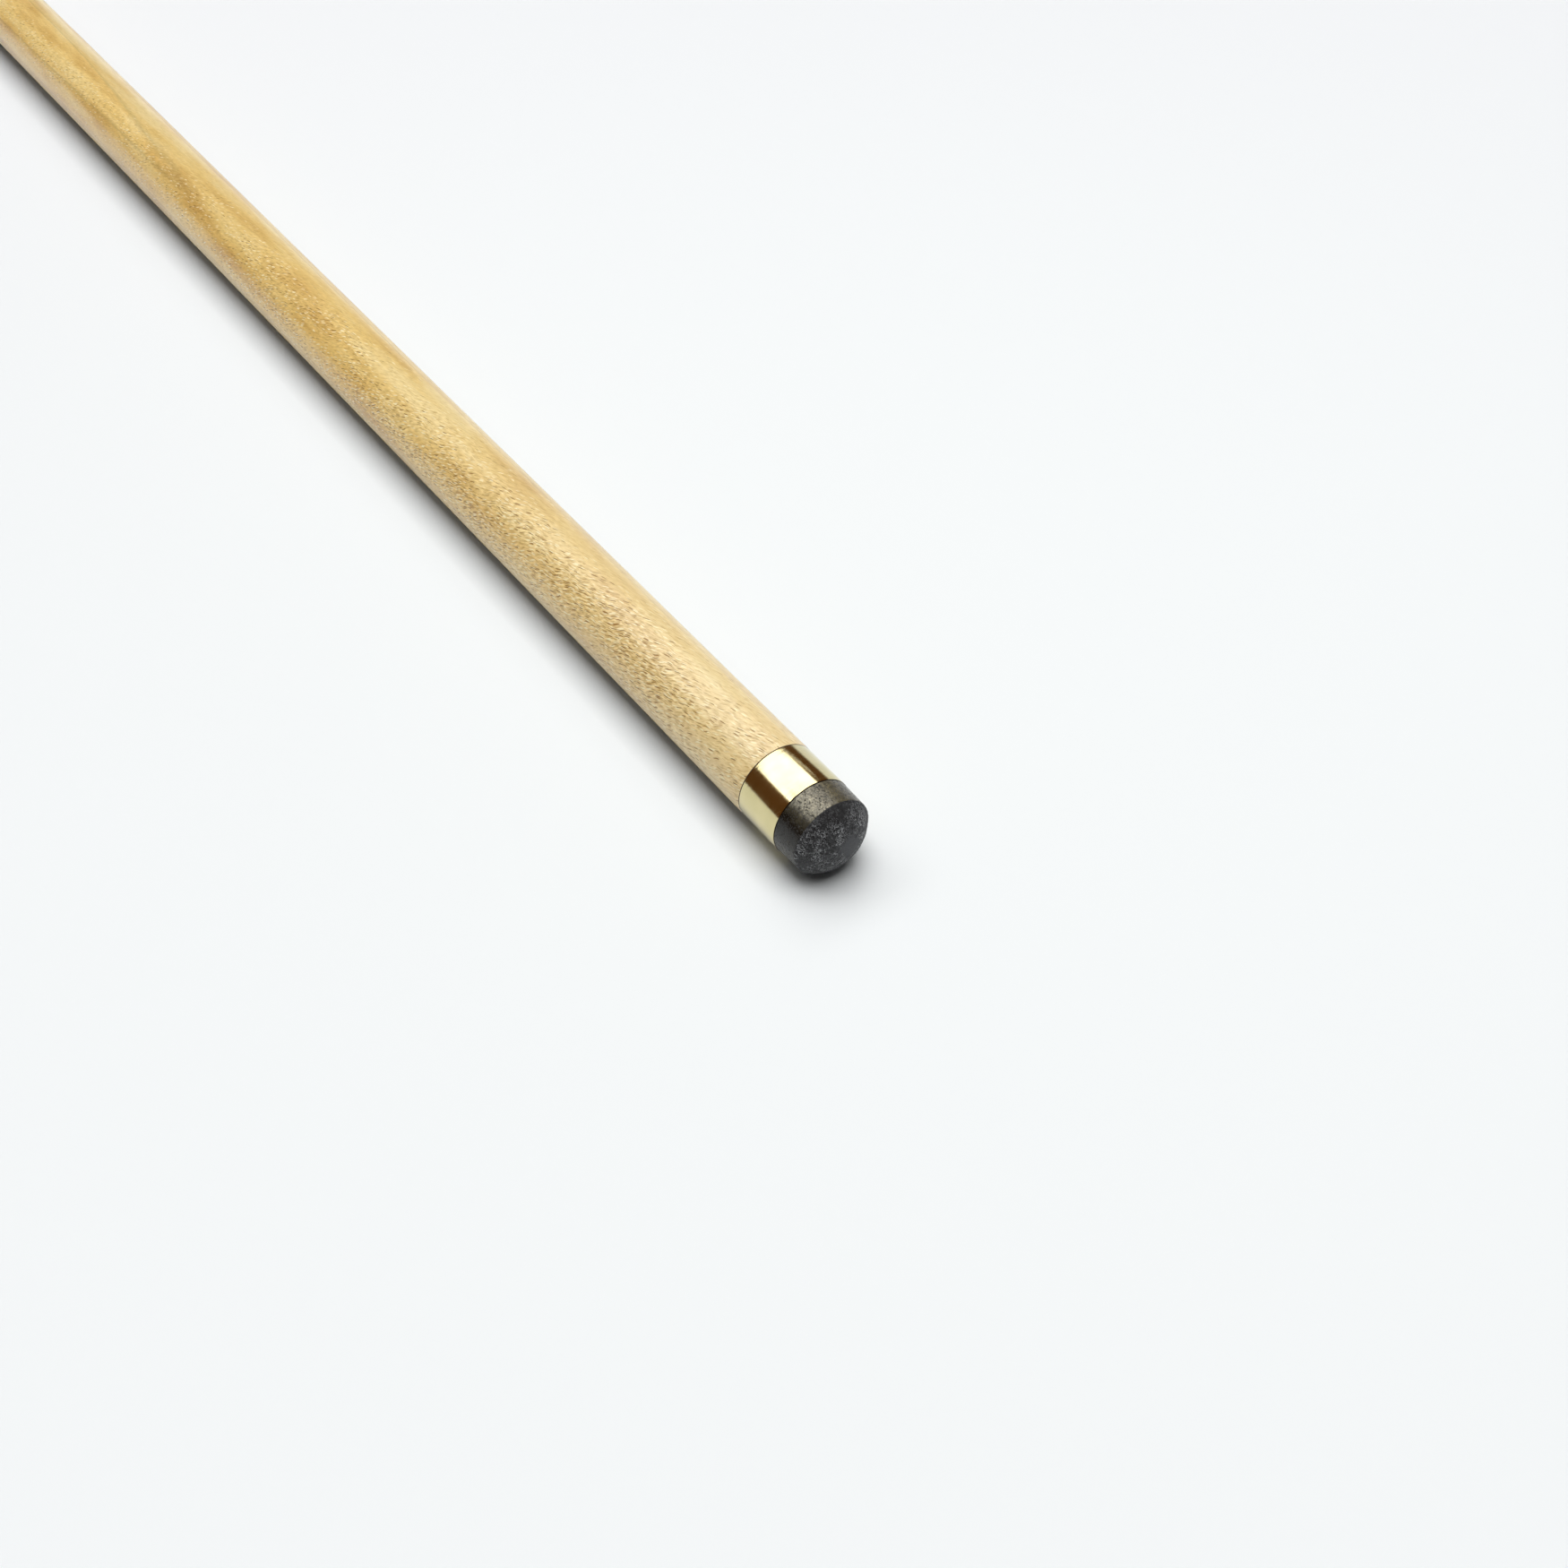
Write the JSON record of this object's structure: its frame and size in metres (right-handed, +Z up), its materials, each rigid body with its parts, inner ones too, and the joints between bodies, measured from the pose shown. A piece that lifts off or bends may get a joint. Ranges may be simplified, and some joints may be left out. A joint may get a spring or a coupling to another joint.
{
  "type": "snooker cue",
  "caption": "Slim tapered wooden cue that unscrews in the middle, with a domed leather tip on a brass ferrule, a spliced butt and a rubber bumper.",
  "frame": {"origin": "on the table under the middle of the cue, which lies on it as in the picture", "axes": "+X along the cue towards the leather tip, +Z up, +Y to the left when looking towards the tip; the cue's own axis dips 0.388 degrees towards the tip because the butt is thicker"},
  "size_m": [1.4478, 0.0288, 0.0289],
  "materials": {
    "leather": "pressed, matt, scuffed",
    "brass": "turned and polished",
    "maple": "thin satin varnish",
    "ebony": "polished",
    "steel": "turned",
    "rubber": "moulded, matt"
  },
  "bodies": {
    "butt_half": {"joint_pin": "brass", "butt_core": "maple", "splice_right": "ebony", "splice_left": "ebony", "splice_lower": "ebony", "splice_flat": "ebony", "balance_weight": "steel", "bumper_bush": "brass"},
    "shaft_half": {"leather_tip": "leather", "ferrule": "brass", "shaft": "maple", "joint_socket": "brass"},
    "bumper": {"bumper_stud": "brass", "bumper_pad": "rubber"}
  },
  "joints": [
    {"name": "shaft_unscrews", "type": "slide", "parent": "butt_half", "child": "shaft_half", "axis": [1, 0, -0.0068], "range_m": [0, 0.04]},
    {"name": "bumper_unscrews", "type": "slide", "parent": "butt_half", "child": "bumper", "axis": [-1, 0, 0.0068], "range_m": [0, 0.022]}
  ]
}
